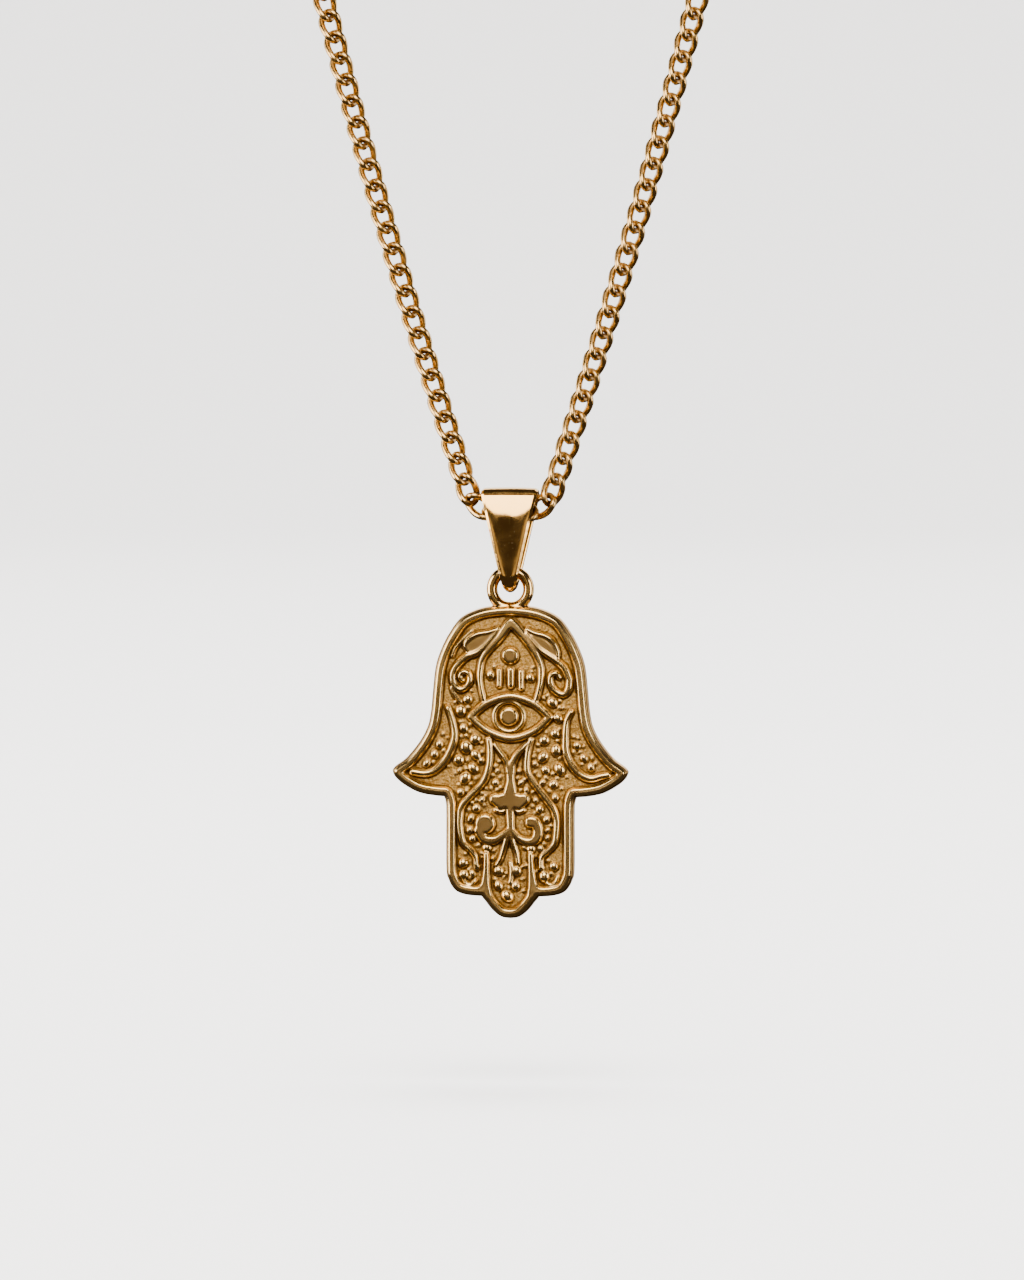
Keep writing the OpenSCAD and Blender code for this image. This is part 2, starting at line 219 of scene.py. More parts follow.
# %% Soft lights
PANELS = [
    # name, turn and rise in degrees, roll, width and height in mm, radiance, colour
    ("panel_top", -5, 38, 45, 420, 420, 4.2, (1.0, 0.89, 0.69)),
    ("panel_over", 0, 88, 0, 300, 300, 0.6, (1.0, 0.86, 0.66)),
    ("panel_left", -78, 8, 0, 380, 420, 4.9, (1.0, 0.90, 0.74)),
    ("panel_right", 72, 4, 0, 200, 400, 4.2, (1.0, 0.92, 0.78)),
    ("panel_front_right", 9, 0, -6, 70, 200, 0.6, (1.0, 0.80, 0.50)),
    ("panel_front_left", -21, 0, 6, 60, 220, 0.6, (1.0, 0.80, 0.50)),
    ("panel_back", 180, 24, 0, 460, 320, 1.8, (1.0, 0.95, 0.86)),
    ("panel_back_left", -128, 8, 0, 240, 420, 1.8, (1.0, 0.95, 0.86)),
    ("panel_back_right", 128, 8, 0, 240, 420, 1.8, (1.0, 0.95, 0.86)),
]
panel_far = 520.0
for name, turn, rise, roll, wide, tall, radiance, tint in PANELS:
    lamp = bpy.data.lights.new(name, "AREA")
    lamp.shape = "RECTANGLE"
    lamp.size, lamp.size_y = wide * MM, tall * MM
    lamp.energy = radiance * math.pi * lamp.size * lamp.size_y
    lamp.color = tint
    panel = bpy.data.objects.new(name, lamp)
    panel.visible_camera = panel.visible_diffuse = False
    bpy.context.scene.collection.objects.link(panel)
    place = place_on_sphere(math.radians(turn), math.radians(rise), panel_far)
    look(panel, place, aim, math.radians(roll))
    print(f"{name}: {lamp.energy:.2f} W")

# %% Light of the room
room_wide, room_power, room_z = 4.0, 420.0, 2900.0
room_lamp = bpy.data.lights.new("room_light", "AREA")
room_lamp.shape = "DISK"
room_lamp.size = room_wide
room_lamp.energy = room_power
room_light = bpy.data.objects.new("room_light", room_lamp)
room_light.visible_camera = room_light.visible_glossy = False
bpy.context.scene.collection.objects.link(room_light)
look(room_light, room_z * UP, aim)

world = bpy.data.worlds.new("dim_room")
world.use_nodes = True
warm_dusk, dusk_strength = (1.0, 0.76, 0.50, 1.0), 0.06
backdrop = world.node_tree.nodes["Background"].inputs
backdrop["Color"].default_value = warm_dusk
backdrop["Strength"].default_value = dusk_strength
bpy.context.scene.world = world
bpy.context.scene.view_settings.look = "AgX - Medium High Contrast"
print(f"{len(PANELS)} panels and a lamp of {room_power:.0f} W overhead")

# %% [markdown]
# A finish is a small network of nodes. Wired by hand it is hard to read, so its sums are
# written as Python expressions: the class below wraps one socket, and each operator adds the Math
# node that it stands for. Every other node comes from one method, which takes the node's type,
# its settings and what goes into its sockets.


# %% Shader arithmetic
class Signal:
    """A number that a node gives out. Arithmetic on it adds Math nodes to the same finish."""

    def __init__(self, finish, socket):
        self.finish = finish
        self.socket = socket

    def math(self, operation, first, second):
        """Adds a Math node for two inputs and gives its output."""
        return self.finish.node("ShaderNodeMath", {"operation": operation}, {0: first, 1: second})[0]

    def __add__(self, other):
        return self.math("ADD", self, other)

    def __sub__(self, other):
        return self.math("SUBTRACT", self, other)

    def __rsub__(self, other):
        return self.math("SUBTRACT", other, self)

    def __mul__(self, other):
        return self.math("MULTIPLY", self, other)

    __radd__ = __add__
    __rmul__ = __mul__


# %% Nodes of a finish
class Finish:
    """A material whose nodes are made by one method."""

    def __init__(self, name):
        self.material = bpy.data.materials.new(name)
        self.material.use_nodes = True
        self.tree = self.material.node_tree
        self.shader = self.tree.nodes["Principled BSDF"]
        self.place = self.node("ShaderNodeTexCoord", {}, {})["Object"]

    def feed(self, socket, value):
        """Links a signal to a socket, or sets the socket to a plain value."""
        if isinstance(value, Signal):
            self.tree.links.new(value.socket, socket)
        else:
            socket.default_value = value

    def node(self, kind, settings, inputs):
        """Adds a node, sets it up, feeds its sockets and gives its outputs as signals by name and
        by number."""
        made = self.tree.nodes.new(kind)
        for key, value in settings.items():
            setattr(made, key, value)
        for key, value in inputs.items():
            self.feed(made.inputs[key], value)
        shown = [s for s in made.outputs if s.enabled]
        signals = {i: Signal(self, s) for i, s in enumerate(shown)}
        signals.update({s.name: Signal(self, s) for s in shown})
        return signals

    def noise(self, cell, detail=2.0, rough=0.55, stretch=(1.0, 1.0, 1.0)):
        """Noise from 0 to 1 with cells of this many millimetres, stretched along the axes."""
        scale = [1.0 / s for s in stretch]
        where = self.node("ShaderNodeMapping", {}, {"Vector": self.place, "Scale": scale})[0]
        inputs = {"Vector": where, "Scale": 1.0 / (cell * MM), "Detail": detail, "Roughness": rough}
        return self.node("ShaderNodeTexNoise", {}, inputs)[0]

    def attribute(self, name):
        """A value that the mesh carries on its points."""
        return self.node("ShaderNodeAttribute", {"attribute_name": name}, {})["Fac"]

    def spread(self, value, low, high, to_low=0.0, to_high=1.0):
        """The value taken from one range to another and held inside it, with a soft start and end."""
        inputs = {"Value": value, "From Min": low, "From Max": high, "To Min": to_low, "To Max": to_high}
        return self.node("ShaderNodeMapRange", {"interpolation_type": "SMOOTHSTEP"}, inputs)[0]

    def blend(self, share, one, two):
        """Colour between two others."""
        return self.node("ShaderNodeMix", {"data_type": "RGBA"}, {"Factor": share, 6: one, 7: two})[0]

    def bump(self, height, deep, over=None):
        """Normal for a height from 0 to 1 that is this many millimetres deep."""
        inputs = {"Height": height, "Distance": deep * MM, "Strength": 1.0}
        if over is not None:
            inputs["Normal"] = over
        return self.node("ShaderNodeBump", {}, inputs)[0]

    def wear(self, thing, **sockets):
        """Feeds the shader's sockets, named with _ for a space, and gives the finish to a piece."""
        for key, value in sockets.items():
            self.feed(self.shader.inputs[key.replace("_", " ").title()], value)
        thing.data.materials.clear()
        thing.data.materials.append(self.material)


def rgb(red, green, blue):
    """Colour that covers fully."""
    return (red, green, blue, 1.0)


# %% [markdown]
# The hand is one casting: rim, relief and ring are the same metal. It could be cut from
# plates, but a casting has no sharp step anywhere, so it is made as two height fields back to
# back, a front and a back over the same flat shape, joined by a wall. Everything in the fields
# comes from distances: how far a point is from the outline, from the middle line of a
# stroke or from the centre of a grain. The tables give their points in thousandths of the
# hand's width and height, measured from the middle fingertip.
#
# The ornament is cut by hand and a little uneven, so each line has its own few points.

# %% Drawing of the hand
WHOLE = 1000.0

# Right half of the outline, from the dome to the middle fingertip, in four runs
OUTLINE = [
    [[0, 1000], [73, 996], [142, 984], [208, 958], [258, 907], [292, 855], [313, 804],
     [324, 733], [333, 662], [348, 610], [384, 559], [440, 507], [487, 480], [500, 469]],
    [[500, 469], [489, 452], [455, 430], [395, 406], [330, 396], [280, 393]],
    [[280, 393], [270, 372], [267, 330], [267, 159], [258, 121], [240, 95], [219, 82],
     [180, 74], [120, 71]],
    [[120, 71], [98, 51], [70, 25], [36, 5], [0, 0]],
]

# Strokes: the widths at the start, middle and end in thousandths of the hand's width, then points
STROKES = [
    # Onion arch
    [38, 24, 17, [[6, 950], [-13, 935], [-45, 900], [-90, 863], [-119, 830], [-129, 786], [-127, 749],
                  [-112, 701]]],
    [38, 24, 17, [[6, 950], [38, 926], [73, 893], [112, 849], [134, 808], [134, 764], [124, 727],
                  [112, 697]]],
    # Eyelids
    [26, 30, 26, [[-168, 645], [-96, 690], [3, 711], [102, 690], [172, 645]]],
    [26, 30, 26, [[-168, 645], [-96, 600], [5, 576], [106, 600], [172, 645]]],
    # Three bars
    [18, 20, 18, [[-45, 797], [-45, 746]]],
    [25, 27, 25, [[5, 797], [5, 748]]],
    [20, 22, 18, [[49, 793], [49, 738]]],
    # Upper leaves and their scrolls
    [13, 20, 14, [[-50, 930], [-90, 919], [-139, 912], [-179, 893], [-191, 875], [-179, 856]]],
    [13, 20, 26, [[-50, 930], [-65, 912], [-105, 875], [-144, 852], [-183, 842]]],
    [26, 22, 15, [[-183, 842], [-218, 819], [-245, 786], [-242, 753], [-218, 734], [-188, 741],
                  [-171, 764], [-179, 786], [-203, 790], [-215, 775], [-203, 762]]],
    [13, 20, 14, [[75, 928], [110, 916], [151, 908], [184, 891], [206, 858], [206, 838]]],
    [15, 24, 26, [[72, 916], [124, 869], [170, 844], [206, 825], [239, 801], [258, 766]]],
    [26, 24, 15, [[258, 766], [252, 735], [230, 719], [195, 731], [176, 756], [179, 780], [200, 788],
                  [215, 773]]],
    # Fine lines beside the left rim
    [10, 13, 8, [[-248, 841], [-235, 865], [-213, 886], [-190, 905], [-164, 923]]],
    [10, 13, 13, [[-252, 739], [-237, 715], [-213, 694]]],
    # Thumbs
    [17, 28, 25, [[-267, 675], [-248, 634], [-238, 579], [-270, 514], [-319, 474], [-363, 461],
                  [-419, 466]]],
    [17, 28, 25, [[265, 664], [245, 631], [240, 579], [246, 522], [290, 470], [345, 448], [395, 456],
                  [424, 460]]],
    # Long bending strands
    [20, 25, 17, [[-90, 572], [-85, 531], [-90, 486], [-113, 436], [-161, 396], [-206, 357],
                  [-216, 317], [-214, 278], [-201, 238], [-170, 215], [-148, 192], [-144, 166]]],
    [20, 25, 17, [[92, 572], [78, 531], [75, 475], [101, 436], [145, 393], [185, 353], [202, 317],
                  [202, 278], [193, 238], [163, 212], [138, 192], [136, 159]]],
    # Middle stem with its forked top and its cross piece
    [9, 18, 30, [[-66, 556], [-46, 536], [-24, 514], [-8, 492], [0, 468]]],
    [12, 24, 34, [[76, 562], [56, 544], [30, 522], [12, 496], [4, 466]]],
    [34, 30, 62, [[2, 480], [4, 440], [2, 392]]],
    [60, 74, 60, [[-42, 374], [0, 376], [44, 374]]],
    [34, 30, 28, [[3, 360], [2, 330], [5, 281]]],
    [10, 15, 13, [[-12, 350], [-33, 339], [-60, 345]]],
    [10, 15, 13, [[18, 350], [37, 339], [60, 345]]],
    # Two scrolls at the foot of the stem
    [22, 34, 40, [[0, 284], [-30, 263], [-70, 247], [-112, 252], [-132, 278]]],
    [20, 38, 40, [[9, 281], [40, 255], [80, 243], [114, 252], [122, 280], [108, 306], [88, 310]]],
    # Tent over the middle finger
    [22, 17, 13, [[-2, 280], [-21, 233], [-39, 189], [-57, 166]]],
    [22, 17, 13, [[-2, 280], [16, 237], [31, 202], [36, 173]]],
    [13, 15, 13, [[5, 175], [9, 145], [3, 110]]],
    # Hooks in the outer fingers
    [10, 13, 10, [[-201, 120], [-186, 105], [-166, 103], [-149, 116]]],
    [10, 13, 10, [[160, 110], [179, 103], [200, 113], [209, 131]]],
]

# Ridges between the fingers, drawn as strokes that flow into the rim
RIDGES = [
    [24, 28, 44, [[-101, 203], [-101, 150], [-106, 88]]],
    [24, 28, 44, [[90, 203], [94, 150], [101, 88]]],
]

# Round grains: across, up and radius
GRAINS = [
    # Left of the eye and under it
    [-181, 701, 19], [-211, 664, 22], [-198, 608, 17], [-149, 573, 21], [-188, 546, 26],
    [-146, 521, 20], [-221, 505, 22], [-124, 503, 14], [-156, 479, 21], [-193, 447, 24],
    [-212, 401, 15],
    # Right of the eye and under it
    [184, 693, 21], [208, 642, 19], [196, 592, 18], [149, 570, 20], [201, 538, 22], [144, 516, 22],
    [110, 493, 12], [216, 477, 24], [156, 474, 17], [140, 434, 12], [189, 428, 17], [197, 385, 15],
    # Thumbs
    [-303, 555, 16], [-325, 523, 16], [-359, 493, 16], [291, 554, 15], [321, 514, 15],
    [351, 484, 15],
    # Inside the long strands
    [-61, 432, 14], [-54, 470, 9], [-120, 376, 13], [-144, 350, 16], [-168, 316, 15],
    [-172, 278, 14], [-161, 250, 13], [48, 432, 12], [40, 470, 9], [72, 409, 11], [112, 376, 11],
    [130, 347, 16], [160, 314, 14], [164, 280, 10], [163, 255, 10], [136, 220, 13],
    # Beside the onion arch
    [-82, 780, 18], [88, 771, 17],
    # Fingers
    [-48, 147, 20], [29, 148, 20], [-48, 99, 18], [26, 99, 18], [-10, 66, 24], [-201, 171, 19],
    [-199, 134, 19], [-160, 137, 13], [-142, 160, 14], [191, 163, 17], [149, 130, 22],
    [136, 158, 14],
    # Knobs at the head of the finger ridges
    [-98, 222, 17], [92, 219, 17],
]

# Flat discs and the ring round the pupil: across, up, radius of the middle line, half the width
# round it, and share of the full height
DISCS = [
    [2, 843, 0, 34, 1], [-106, 300, 0, 41, 1], [-62, 379, 0, 23, 1], [60, 380, 0, 24, 1],
    [-38, 358, 0, 17, 1], [40, 359, 0, 17, 1], [-419, 466, 0, 13, 1], [-3, 647, 0, 38, 1],
    [88, 303, 0, 19, 1], [-3, 647, 64, 6, 0.75],
]

# Fields inside the two upper leaves
LEAVES = [
    [[-60, 922], [-139, 905], [-183, 880], [-176, 850], [-105, 878]],
    [[82, 916], [151, 900], [196, 866], [202, 835], [170, 848], [124, 875]],
]
print(f"{len(STROKES)} strokes, {len(GRAINS)} grains and {len(DISCS)} discs")


# %% [markdown]
# A few points make a line when a smooth curve is led through them. The curve could be a Blender
# curve object, but the height fields need its distance, so it is worked out as an array.


# %% Curves
def spots(points):
    """Millimetres across and up from the middle of the hand's foot, for points in thousandths."""
    return np.asarray(points, float)[:, :2] * [hand_w / WHOLE, hand_h / WHOLE]


def curve(points, steps):
    """Smooth line through points: each span is the cubic that leaves a point along the chord
    between its two neighbours, and has this many steps."""
    p = np.asarray(points, float)
    i = np.arange(len(p) - 1)
    a, b, c, d = (p[np.clip(i + k, 0, len(p) - 1)][:, None] for k in (-1, 0, 1, 2))
    t = (np.arange(steps) / steps)[None, :, None]
    bent = 2 * a - 5 * b + 4 * c - d
    twisted = 3 * b - a - 3 * c + d
    spans = (2 * b + (c - a) * t + bent * t**2 + twisted * t**3) / 2
    return np.vstack([spans.reshape(-1, 2), p[-1:]])


# %% Distances
def from_path(points, path, chunk=6000):
    """Distance of each point from a line of straight pieces, and how far along it the nearest
    place is, as a share: the foot of the perpendicular is held inside each piece, and the
    shortest of all is kept."""
    start, run = path[:-1], np.diff(path, axis=0)
    gaps, shares = [], []
    for part in np.array_split(points, len(points) // chunk + 1):
        lead = part[:, None] - start
        t = np.clip((lead * run).sum(2) / (run * run).sum(1), 0, 1)
        gap = np.linalg.norm(lead - t[..., None] * run, axis=2)
        nearest = gap.argmin(1)
        row = np.arange(len(part))
        gaps.append(gap[row, nearest])
        shares.append((nearest + t[row, nearest]) / len(run))
    return np.concatenate(gaps), np.concatenate(shares)


def is_inside(points, path, chunk=20000):
    """Whether each point lies in a closed line: a ray to the right crosses it an odd number
    of times."""
    (x0, z0), (x1, z1) = path[:-1].T, path[1:].T
    found = []
    for part in np.array_split(points, len(points) // chunk + 1):
        x, z = part[:, :1], part[:, 1:]
        spans = (z0 > z) != (z1 > z)
        reach = x0 + (z - z0) * (x1 - x0) / np.where(z1 == z0, 1.0, z1 - z0)
        found.append((spans & (x < reach)).sum(1) % 2 == 1)
    return np.concatenate(found)


def from_shape(points, path):
    """Distance from a closed line, negative inside."""
    gap, _ = from_path(points, path)
    return np.where(is_inside(points, path), -gap, gap)


# %% [markdown]
# Cast metal has no knife edges. Each step in height is therefore a rounded shoulder, and where
# two heights meet the greater one wins with a small fillet between them.

# %% Rounded sections
SHOULDER_ROUND, SHOULDER_STEEP = 2.2, 0.8


def shoulder(share):
    """Rises from 0 at share 0 and levels out at 1 at share 1, as a little less than a quarter of
    an oval does."""
    away = 1.0 - np.clip(share, 0.0, 1.0)
    return (1.0 - away**SHOULDER_ROUND) ** SHOULDER_STEEP


def both_max(a, b, soft):
    """The greater of two heights, with a fillet of this size where they meet."""
    near = np.clip(soft - np.abs(a - b), 0.0, None)
    return np.maximum(a, b) + near * near / (4.0 * soft)


def both_min(a, b, soft):
    """The lesser of two distances, with a fillet of this size."""
    return -both_max(-a, -b, soft)


def soft_section(knots, soft):
    """A section drawn with a few knots, (distance, height), whose corners are rubbed round: the
    broken line is averaged under a bell of this width. Gives a function of the distance."""
    at, high = np.array(knots).T
    per_bell, bells, spare = 8, 3, 4
    fine = np.arange(at[0] - spare * soft, at[-1] + spare * soft, soft / per_bell)
    bell = np.exp(-0.5 * (np.arange(-bells * per_bell, bells * per_bell + 1) / per_bell) ** 2)
    line = np.interp(fine, at, high)
    padded = np.pad(line, len(bell) // 2, mode="edge")
    rubbed = np.convolve(padded, bell / bell.sum(), mode="valid")
    return lambda distance: np.interp(distance, fine, rubbed)


# %% [markdown]
# The front of the hand adds up like the wax model did: first the rim as a section carried round
# the outline, then the sunk ground, then the strokes and grains on it. The greatest height
# wins everywhere. The outer side of the rim slopes outwards towards the back, as a casting has to
# so that it leaves its mould, and shows as a dark edge round the bright rim.

# %% Outline and rim
OUTLINE_STEPS, STROKE_STEPS = 8, 6
half = np.vstack([curve(spots(run), OUTLINE_STEPS)[:-1] for run in OUTLINE])
outline = np.vstack([half, [[0.0, 0.0]], half[:0:-1] * [-1, 1], half[:1]])
skirt = 0.12

mid = hand_t / 2
ground = mid - ground_depth
relief_high = ground_depth - relief_drop
# Knots of the rim: distance behind the edge, height over the middle plane
rim_section = soft_section(
    [(-skirt - 0.05, 0.42), (-skirt, 0.52), (0.02, 0.82), (0.14, 1.03), (0.28, 1.10), (0.48, 1.06),
     (0.66, 1.08), (0.76, 1.05), (0.88, 0.58), (0.98, 0.48), (1.12, 0.50), (1.40, 0.50)],
    0.035,
)
print(f"outline of {len(outline)} points, {np.ptp(outline[:, 0]):.2f} by {np.ptp(outline[:, 1]):.2f} mm")


# %% Strokes and grains as rows
def near(points, centre, reach):
    """Which points lie less than a reach from a centre, across and up."""
    return np.flatnonzero((np.abs(points - centre) < reach).all(1))


def near_path(points, path, reach):
    """Which points lie in the box round a path, widened by a reach."""
    return near(points, (path.max(0) + path.min(0)) / 2, np.ptp(path, axis=0) / 2 + reach)


def half_wide(share, widths):
    """Half the width of a stroke at a share of its length, between its start, middle and end."""
    return np.interp(share, [0.0, 0.5, 1.0], widths) * hand_w / WHOLE / 2


def raise_to(height, where, amount):
    """Lifts the heights of some of the points to an amount where they are less."""
    height[where] = np.maximum(height[where], amount)


rng = np.random.default_rng(11)
SLIM_MOST, TILT_MOST = 1.4, 0.8


def with_shapes(rows):
    """Rows of grains, (across, up, radius), with a slimness and a tilt drawn by chance for each."""
    slims = rng.uniform(1.0, SLIM_MOST, len(rows))
    tilts = rng.uniform(-TILT_MOST, TILT_MOST, len(rows))
    return np.column_stack([rows, slims, tilts])


grains = with_shapes(GRAINS)

# %% Relief
flank, foot = 0.34, 0.12
hairline_share, full_wide = 0.55, 0.5
grain_foot, dome_flat, dome_steep = 0.07, 2.8, 0.65
grain_low, grain_rise = 0.12, 0.6
leaf_share, leaf_foot, leaf_flank = 0.72, 0.1, 0.25


def relief(points):
    """Height of the ornament over the ground. A stroke rises from its edge to its flat top like
    a quarter of an oval, a disc or a ring is a stroke round a point, a grain is a tilted oval
    dome, and a leaf's field is low and flat."""
    height = np.zeros(len(points))
    for *widths, line in STROKES:
        path = curve(spots(line), STROKE_STEPS)
        where = near_path(points, path, 1.2)
        gap, share = from_path(points[where], path)
        wide = half_wide(share, widths)
        full = relief_high * np.clip(hairline_share + wide / full_wide, 0.0, 1.0)
        raise_to(height, where, full * shoulder((wide + foot - gap) / flank))
    for row in DISCS:
        centre, radius, wide = spots([row])[0], row[2] * hand_w / WHOLE, row[3] * hand_w / WHOLE
        where = near(points, centre, radius + wide + 0.2)
        gap = np.abs(np.linalg.norm(points[where] - centre, axis=1) - radius)
        raise_to(height, where, row[4] * relief_high * shoulder((wide + foot - gap) / flank))
    for row in grains:
        centre, radius = spots([row])[0], row[2] * hand_w / WHOLE + grain_foot
        slim, tilt = row[3:]
        where = near(points, centre, radius * 1.3)
        away = (points[where] - centre) @ [[math.cos(tilt), math.sin(tilt)],
                                           [-math.sin(tilt), math.cos(tilt)]]
        gap = np.linalg.norm(away * [slim**0.5, slim**-0.5], axis=1)
        dome = np.clip(1.0 - (gap / radius) ** dome_flat, 0.0, None) ** dome_steep
        raise_to(height, where, min(relief_high, grain_low + grain_rise * radius) * dome)
    for leaf in LEAVES:
        path = curve(spots(leaf + leaf[:1]), STROKE_STEPS)
        where = near_path(points, path, 0.2)
        gap = from_shape(points[where], path)
        raise_to(height, where, leaf_share * relief_high * shoulder((leaf_foot - gap) / leaf_flank))
    return height


# %% Flat shape of the casting
ring_centre = np.array([0.0, ring_z - hand_z])
bar_inwards, bar_thicker = 0.03, 0.08
ring_r = (ring_d + ring_hole) / 4 - bar_inwards
bar_r = (ring_d - ring_hole) / 4 + bar_thicker
swell, neck_fillet = 0.13, 0.5


def from_bar(points):
    """Distance from the circle in the middle of the ring's bar."""
    return np.abs(np.linalg.norm(points - ring_centre, axis=1) - ring_r)


def from_hand(points):
    """Distance from the edge of the hand's front, which is a little outside its outline."""
    return from_shape(points, outline) - skirt


def from_casting(points):
    """Distance from the whole flat shape: the hand and its ring, with a fillet between."""
    return both_min(from_hand(points), from_bar(points) - bar_r + swell, neck_fillet)


# %% Heights of the front and the back
fall = 2.0
ring_fillet = 0.2
ridge_deep, ridge_fillet = 0.86, 0.7
ground_from, ground_full = 0.25, 0.2
back_round, back_rise = 0.35, 0.3


def bar_height(points):
    """Half thickness of the ring at a point: an oval bar, which falls straight outside its width."""
    gap, edge = from_bar(points), bar_r - swell
    high = ring_t / 2 * np.sqrt(1.0 - (np.minimum(gap, edge) / bar_r) ** 2)
    return high - fall * np.clip(gap - edge, 0.0, None)


def casting_front(points):
    """Height of the front over the middle plane. A ridge counts as a part of the rim: how deep a
    point lies behind the rim's edge is blended with how deep it lies in the ridge."""
    depth = -(from_hand(points) + skirt)
    for *widths, line in RIDGES:
        path = curve(spots(line), STROKE_STEPS)
        where = near_path(points, path, 2.5)
        gap, share = from_path(points[where], path)
        behind = ridge_deep - half_wide(share, widths) + gap
        depth[where] = both_min(depth[where], behind, ridge_fillet)
    open_ground = np.clip((depth - ground_from) / ground_full, 0.0, 1.0)
    hand = np.maximum(rim_section(depth), ground + relief(points) * open_ground)
    hand = hand - fall * np.clip(-skirt - depth, 0.0, None)
    return both_max(hand, bar_height(points), ring_fillet)


def casting_back(points):
    """Height of the back under the middle plane, with a rounded edge."""
    depth = -from_hand(points)
    hand = -mid + back_rise * (1.0 - shoulder(depth / back_round)) + fall * np.clip(-depth, 0.0, None)
    return -both_max(-hand, bar_height(points), ring_fillet)


# %% [markdown]
# Between the large grains lie many small ones, without any order. Placing each by hand would add
# nothing, so they are strewn by a seeded draw round the large ones, and kept where the ground
# is bare and no earlier one is too near.

# %% Small grains between the large ones
grain_size = np.array([hand_w, hand_h]) / WHOLE
large = np.array(GRAINS, float)
tries = 900
seed_near, seed_far = 0.5, 1.3
seed_room, seed_bare, seed_apart, rim_room = 0.24, 0.02, 0.42, 1.35
seed_small, seed_large = 4.0, 7.5
parents = large[rng.integers(0, len(large), tries), :2]
angles = rng.uniform(0, 2 * math.pi, tries)
reach = rng.uniform(seed_near, seed_far, tries)[:, None]
seeds = parents * grain_size + reach * np.stack([np.cos(angles), np.sin(angles)], axis=1)
around_seed = seed_room * np.array([[0, 0], [1, 0], [-1, 0], [0, 1], [0, -1]])
tested = (seeds[:, None] + around_seed).reshape(-1, 2)
bare_there = (relief(tested) < seed_bare).reshape(tries, -1).all(1)
seeds = seeds[bare_there & (from_shape(seeds, outline) < -rim_room)]
too_near = np.linalg.norm(seeds[:, None] - seeds[None], axis=2) < seed_apart
seeds = seeds[~np.tril(too_near, -1).any(1)]
radii = rng.uniform(seed_small, seed_large, len(seeds))
grains = np.vstack([grains, with_shapes(np.column_stack([seeds / grain_size, radii]))])
print(f"{len(seeds)} small grains strewn between {len(GRAINS)} large ones")

# %% [markdown]
# Two height fields make a solid when they share an edge. A square grid is laid over the flat
# shape, the cells inside it are kept, and the points on the ragged edge are pulled onto
# the true contour, along the slope of the distance. The front and the back use the same grid, and
# a wall of a few rows joins them, bulged a little so that the edge catches light as a round
# one does.


# %% Cells of a grid and their edges
def kept_cells(keep, shape):
    """Faces of a grid whose corners are kept: squares, and triangles where one corner is cut off."""
    number = np.arange(shape[0] * shape[1]).reshape(shape)
    corners = np.stack([number[:-1, :-1], number[1:, :-1], number[1:, 1:], number[:-1, 1:]], axis=-1)
    corners = corners.reshape(-1, 4)
    there = keep[corners]
    squares = corners[there.all(1)]
    odd = corners[there.sum(1) == 3]
    odd_there = keep[odd]
    gone = (~odd_there).argmax(1)
    turn = (gone[:, None] + [1, 2, 3]) % 4
    return squares, np.take_along_axis(odd, turn, axis=1)


def edges_of(*faces):
    """Every edge of every face, from each corner to the next."""
    return np.concatenate([
        np.stack([f.ravel(), np.roll(f, -1, axis=1).ravel()], axis=1) for f in faces
    ])


def open_edges(*faces):
    """Edges that only one face has, in that face's direction."""
    edges = edges_of(*faces)
    top = edges.max() + 1
    ahead, back = edges[:, 0] * top + edges[:, 1], edges[:, 1] * top + edges[:, 0]
    return edges[~np.isin(ahead, back)]


def pull_to(points, where, distance, level=0.0, tries=3):
    """Moves some of the points along the slope of a distance until it has this level."""
    tiny, least_steep = 0.01, 0.25
    for _ in range(tries):
        p = points[where]
        slope = np.stack([
            (distance(p + [tiny, 0]) - distance(p - [tiny, 0])) / (2 * tiny),
            (distance(p + [0, tiny]) - distance(p - [0, tiny])) / (2 * tiny),
        ], axis=1)
        steep = np.clip((slope * slope).sum(1), least_steep, None)[:, None]
        points[where] = p - slope * (distance(p) - level)[:, None] / steep


def neighbours(count, *faces):
    """Edges of a mesh both ways, and how many each of its points has."""
    edges = np.unique(np.sort(edges_of(*faces), axis=1), axis=0)
    both = np.concatenate([edges, edges[:, ::-1]])
    return both, np.bincount(both[:, 0], minlength=count)


def renumbered(*faces):
    """The points that the faces use, in order, and the faces with these points counted from 0."""
    used, order = np.unique(np.concatenate([f.ravel() for f in faces]), return_inverse=True)
    parts = np.split(order, np.cumsum([f.size for f in faces])[:-1])
    return used, [part.reshape(f.shape) for part, f in zip(parts, faces)]


def settled(height, both, degree, times):
    """The height after each point has taken the mean of its neighbours this many times."""
    for _ in range(times):
        height = np.bincount(both[:, 0], height[both[:, 1]], len(height)) / degree
    return height


# %% Solid from two height fields
# A grid point is kept up to this share of a cell outside the shape
OVERLAP = 0.35
# From the front edge to the back edge: millimetres out for a swell of 1, share of the way
WALL = [[0.45, 0.12], [0.85, 0.30], [1.0, 0.50], [0.92, 0.70], [0.5, 0.89]]


